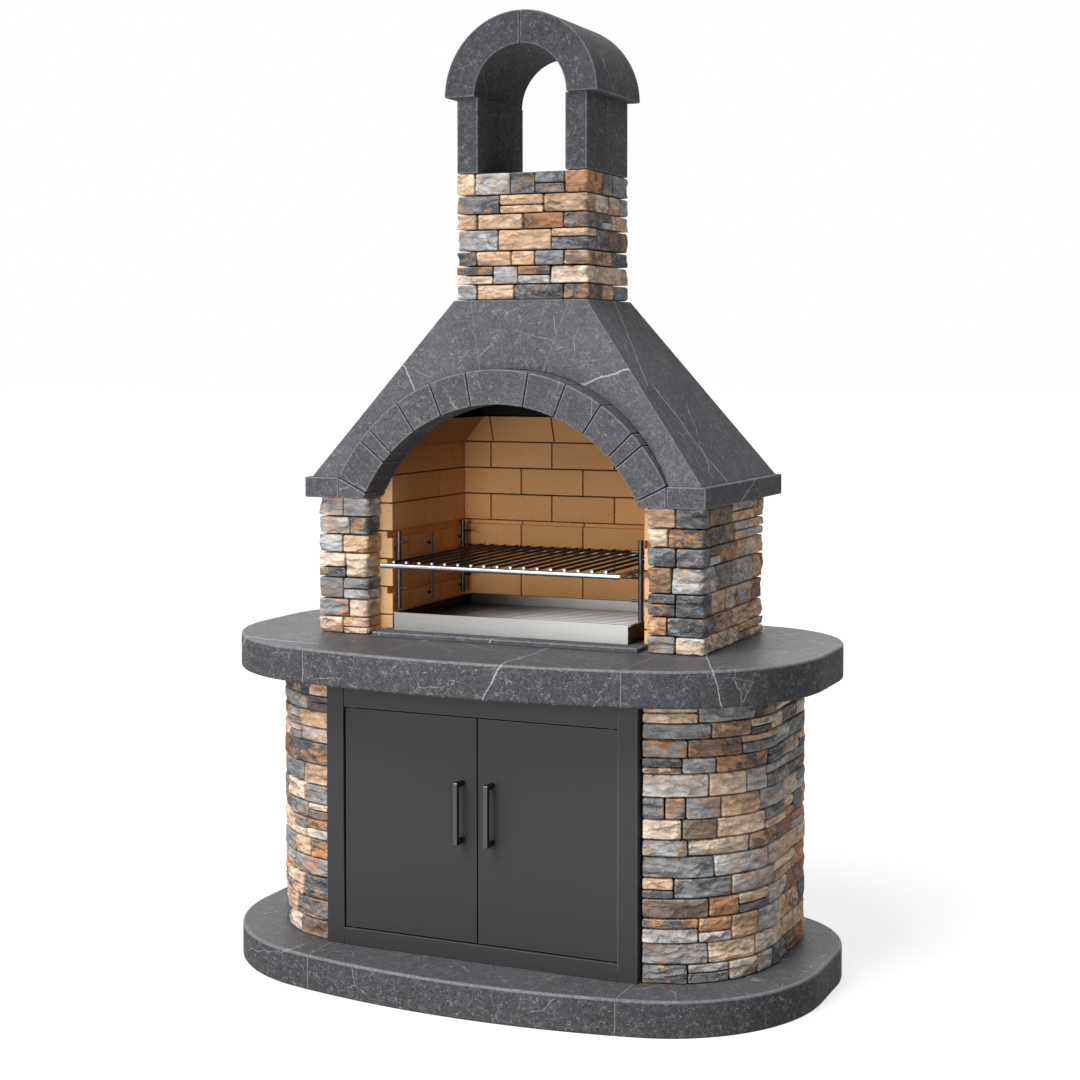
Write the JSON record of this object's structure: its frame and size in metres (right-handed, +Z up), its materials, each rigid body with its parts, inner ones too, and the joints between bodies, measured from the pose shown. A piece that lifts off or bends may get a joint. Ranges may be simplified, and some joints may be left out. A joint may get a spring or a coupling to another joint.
{
  "type": "masonry barbecue",
  "caption": "Stone-faced barbecue with a two-door cabinet, oval slate counter, firebrick hearth with pull-out grate and tray, arched slate hood and chimney.",
  "frame": {"origin": "on the ground under the middle of the base slab", "axes": "+Z up, front and doors towards -Y, +X to the right seen from the front"},
  "size_m": [1.424, 0.8129, 2.217],
  "materials": {
    "black_iron": "heat-blackened iron",
    "black_steel": "black powder coat",
    "block_work": "dark mortar over block work",
    "door_steel": "satin powder coat",
    "firebrick": "fired chamotte",
    "frame_steel": "satin powder coat",
    "ledge_stone": "split-face ledge stone in mixed creams, rusts and greys",
    "slate": "honed dark slate",
    "stainless": "brushed stainless steel",
    "zinc": "zinc-plated steel"
  },
  "bodies": {
    "masonry": {"arch_springers": "slate", "arch_voussoirs_left": "slate", "arch_voussoirs_right": "slate", "base_slab_centre": "slate", "base_slab_left": "slate", "base_slab_right": "slate", "cap_arch_left": "slate", "cap_arch_right": "slate", "cap_post_left": "slate", "cap_post_right": "slate", "chimney_flue": "block_work", "chimney_stones": "ledge_stone", "cornice_left": "slate", "cornice_rear": "slate", "cornice_right": "slate", "counter_slab_centre": "slate", "counter_slab_left": "slate", "counter_slab_right": "slate", "door_catches": "black_steel", "door_frame": "frame_steel", "frame_anchors": "zinc", "hearth_slab": "slate", "hinge_pins": "zinc", "hood_front_centre": "slate", "hood_front_left": "slate", "hood_front_right": "slate", "hood_left_lower": "slate", "hood_left_upper": "slate", "hood_lining_left": "firebrick", "hood_lining_right": "firebrick", "hood_rear": "slate", "hood_right_lower": "slate", "hood_right_upper": "slate", "keystone": "slate", "left_base_stones": "ledge_stone", "left_base_wall": "block_work", "left_firebricks": "firebrick", "left_pillar_core": "block_work", "left_pillar_stones": "ledge_stone", "rack_posts_left": "stainless", "rack_posts_right": "stainless", "rear_base_stones": "ledge_stone", "rear_base_wall": "block_work", "rear_fire_tiles": "firebrick", "rear_firebox_stones": "ledge_stone", "rear_firebox_wall": "block_work", "right_base_stones": "ledge_stone", "right_base_wall": "block_work", "right_firebricks": "firebrick", "right_pillar_core": "block_work", "right_pillar_stones": "ledge_stone"},
    "left_door": {"left_door_panel": "door_steel", "left_door_handle": "black_steel"},
    "right_door": {"right_door_panel": "door_steel", "right_door_handle": "black_steel"},
    "grate": {"grate_frame": "stainless", "grate_rods": "black_iron"},
    "tray": {"charcoal_tray": "stainless", "fire_grate": "black_iron"}
  },
  "joints": [
    {"name": "left_door_hinge", "type": "hinge", "parent": "masonry", "child": "left_door", "pos_m": [-0.3165, -0.25, 0.37], "axis": [0, 0, -1], "range_deg": [0, 105]},
    {"name": "right_door_hinge", "type": "hinge", "parent": "masonry", "child": "right_door", "pos_m": [0.3165, -0.25, 0.37], "axis": [0, 0, 1], "range_deg": [0, 105]},
    {"name": "grate_pull", "type": "slide", "parent": "masonry", "child": "grate", "axis": [0, -1, 0], "range_m": [0, 0.3]},
    {"name": "tray_pull", "type": "slide", "parent": "masonry", "child": "tray", "axis": [0, -1, 0], "range_m": [0, 0.25]}
  ]
}
